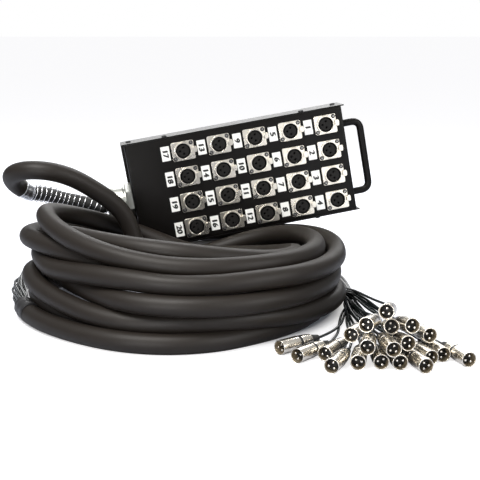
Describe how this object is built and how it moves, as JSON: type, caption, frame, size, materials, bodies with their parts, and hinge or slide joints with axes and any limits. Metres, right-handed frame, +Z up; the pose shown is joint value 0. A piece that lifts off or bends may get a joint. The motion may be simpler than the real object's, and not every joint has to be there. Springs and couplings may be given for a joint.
{
  "type": "stage box snake",
  "caption": "Stage box snake: a steel panel box with numbered sockets, a coiled multicore cable with a sprung strain relief, and a fan of tails with pin plugs.",
  "frame": {"origin": "middle of the box, sockets, latches and handle taken together", "axes": "+X to the right along the box towards its handle, +Y away from the viewer through the box, +Z up from the floor"},
  "size_m": [0.5636, 0.5638, 0.2468],
  "materials": {
    "powder": "satin",
    "nickel": "satin",
    "chrome": "polished",
    "moulded": "matte",
    "jacket": "matte",
    "tails": "satin"
  },
  "bodies": {
    "snake": {"front_tray": "powder", "back_cover": "powder", "handle": "powder", "socket_01": "nickel", "socket_02": "nickel", "socket_03": "nickel", "socket_04": "nickel", "socket_05": "nickel", "socket_06": "nickel", "socket_07": "nickel", "socket_08": "nickel", "socket_09": "nickel", "socket_10": "nickel", "socket_11": "nickel", "socket_12": "nickel", "socket_13": "nickel", "socket_14": "nickel", "socket_15": "nickel", "socket_16": "nickel", "socket_17": "nickel", "socket_18": "nickel", "socket_19": "nickel", "socket_20": "nickel", "gland_body": "moulded", "spring": "chrome", "ferrule": "chrome", "lead": "jacket", "coil": "jacket", "breakout_sleeve": "moulded", "tail_bundle": "tails", "plugs_01_02": "nickel", "plugs_03_04": "nickel", "plugs_05_12": "nickel", "plugs_13_17": "nickel", "plugs_18_19": "nickel", "plugs_16_20": "nickel", "plugs_06_10": "nickel", "plugs_07_09": "nickel", "plugs_08_14": "nickel", "plugs_11_15": "nickel"},
    "latch_01": {"latch_01": "nickel"},
    "latch_02": {"latch_02": "nickel"},
    "latch_03": {"latch_03": "nickel"},
    "latch_04": {"latch_04": "nickel"},
    "latch_05": {"latch_05": "nickel"},
    "latch_06": {"latch_06": "nickel"},
    "latch_07": {"latch_07": "nickel"},
    "latch_08": {"latch_08": "nickel"},
    "latch_09": {"latch_09": "nickel"},
    "latch_10": {"latch_10": "nickel"},
    "latch_11": {"latch_11": "nickel"},
    "latch_12": {"latch_12": "nickel"},
    "latch_13": {"latch_13": "nickel"},
    "latch_14": {"latch_14": "nickel"},
    "latch_15": {"latch_15": "nickel"},
    "latch_16": {"latch_16": "nickel"},
    "latch_17": {"latch_17": "nickel"},
    "latch_18": {"latch_18": "nickel"},
    "latch_19": {"latch_19": "nickel"},
    "latch_20": {"latch_20": "nickel"}
  },
  "joints": [
    {"name": "latch_01_push", "type": "slide", "parent": "snake", "child": "latch_01", "axis": [-0.127, 0.9917, -0.0206], "range_m": [0, 0.0015], "stiffness_N_per_m": 200, "springref_m": -0.001},
    {"name": "latch_02_push", "type": "slide", "parent": "snake", "child": "latch_02", "axis": [-0.127, 0.9917, -0.0206], "range_m": [0, 0.0015], "stiffness_N_per_m": 200, "springref_m": -0.001},
    {"name": "latch_03_push", "type": "slide", "parent": "snake", "child": "latch_03", "axis": [-0.127, 0.9917, -0.0206], "range_m": [0, 0.0015], "stiffness_N_per_m": 200, "springref_m": -0.001},
    {"name": "latch_04_push", "type": "slide", "parent": "snake", "child": "latch_04", "axis": [-0.127, 0.9917, -0.0206], "range_m": [0, 0.0015], "stiffness_N_per_m": 200, "springref_m": -0.001},
    {"name": "latch_05_push", "type": "slide", "parent": "snake", "child": "latch_05", "axis": [-0.127, 0.9917, -0.0206], "range_m": [0, 0.0015], "stiffness_N_per_m": 200, "springref_m": -0.001},
    {"name": "latch_06_push", "type": "slide", "parent": "snake", "child": "latch_06", "axis": [-0.127, 0.9917, -0.0206], "range_m": [0, 0.0015], "stiffness_N_per_m": 200, "springref_m": -0.001},
    {"name": "latch_07_push", "type": "slide", "parent": "snake", "child": "latch_07", "axis": [-0.127, 0.9917, -0.0206], "range_m": [0, 0.0015], "stiffness_N_per_m": 200, "springref_m": -0.001},
    {"name": "latch_08_push", "type": "slide", "parent": "snake", "child": "latch_08", "axis": [-0.127, 0.9917, -0.0206], "range_m": [0, 0.0015], "stiffness_N_per_m": 200, "springref_m": -0.001},
    {"name": "latch_09_push", "type": "slide", "parent": "snake", "child": "latch_09", "axis": [-0.127, 0.9917, -0.0206], "range_m": [0, 0.0015], "stiffness_N_per_m": 200, "springref_m": -0.001},
    {"name": "latch_10_push", "type": "slide", "parent": "snake", "child": "latch_10", "axis": [-0.127, 0.9917, -0.0206], "range_m": [0, 0.0015], "stiffness_N_per_m": 200, "springref_m": -0.001},
    {"name": "latch_11_push", "type": "slide", "parent": "snake", "child": "latch_11", "axis": [-0.127, 0.9917, -0.0206], "range_m": [0, 0.0015], "stiffness_N_per_m": 200, "springref_m": -0.001},
    {"name": "latch_12_push", "type": "slide", "parent": "snake", "child": "latch_12", "axis": [-0.127, 0.9917, -0.0206], "range_m": [0, 0.0015], "stiffness_N_per_m": 200, "springref_m": -0.001},
    {"name": "latch_13_push", "type": "slide", "parent": "snake", "child": "latch_13", "axis": [-0.127, 0.9917, -0.0206], "range_m": [0, 0.0015], "stiffness_N_per_m": 200, "springref_m": -0.001},
    {"name": "latch_14_push", "type": "slide", "parent": "snake", "child": "latch_14", "axis": [-0.127, 0.9917, -0.0206], "range_m": [0, 0.0015], "stiffness_N_per_m": 200, "springref_m": -0.001},
    {"name": "latch_15_push", "type": "slide", "parent": "snake", "child": "latch_15", "axis": [-0.127, 0.9917, -0.0206], "range_m": [0, 0.0015], "stiffness_N_per_m": 200, "springref_m": -0.001},
    {"name": "latch_16_push", "type": "slide", "parent": "snake", "child": "latch_16", "axis": [-0.127, 0.9917, -0.0206], "range_m": [0, 0.0015], "stiffness_N_per_m": 200, "springref_m": -0.001},
    {"name": "latch_17_push", "type": "slide", "parent": "snake", "child": "latch_17", "axis": [-0.127, 0.9917, -0.0206], "range_m": [0, 0.0015], "stiffness_N_per_m": 200, "springref_m": -0.001},
    {"name": "latch_18_push", "type": "slide", "parent": "snake", "child": "latch_18", "axis": [-0.127, 0.9917, -0.0206], "range_m": [0, 0.0015], "stiffness_N_per_m": 200, "springref_m": -0.001},
    {"name": "latch_19_push", "type": "slide", "parent": "snake", "child": "latch_19", "axis": [-0.127, 0.9917, -0.0206], "range_m": [0, 0.0015], "stiffness_N_per_m": 200, "springref_m": -0.001},
    {"name": "latch_20_push", "type": "slide", "parent": "snake", "child": "latch_20", "axis": [-0.127, 0.9917, -0.0206], "range_m": [0, 0.0015], "stiffness_N_per_m": 200, "springref_m": -0.001}
  ]
}
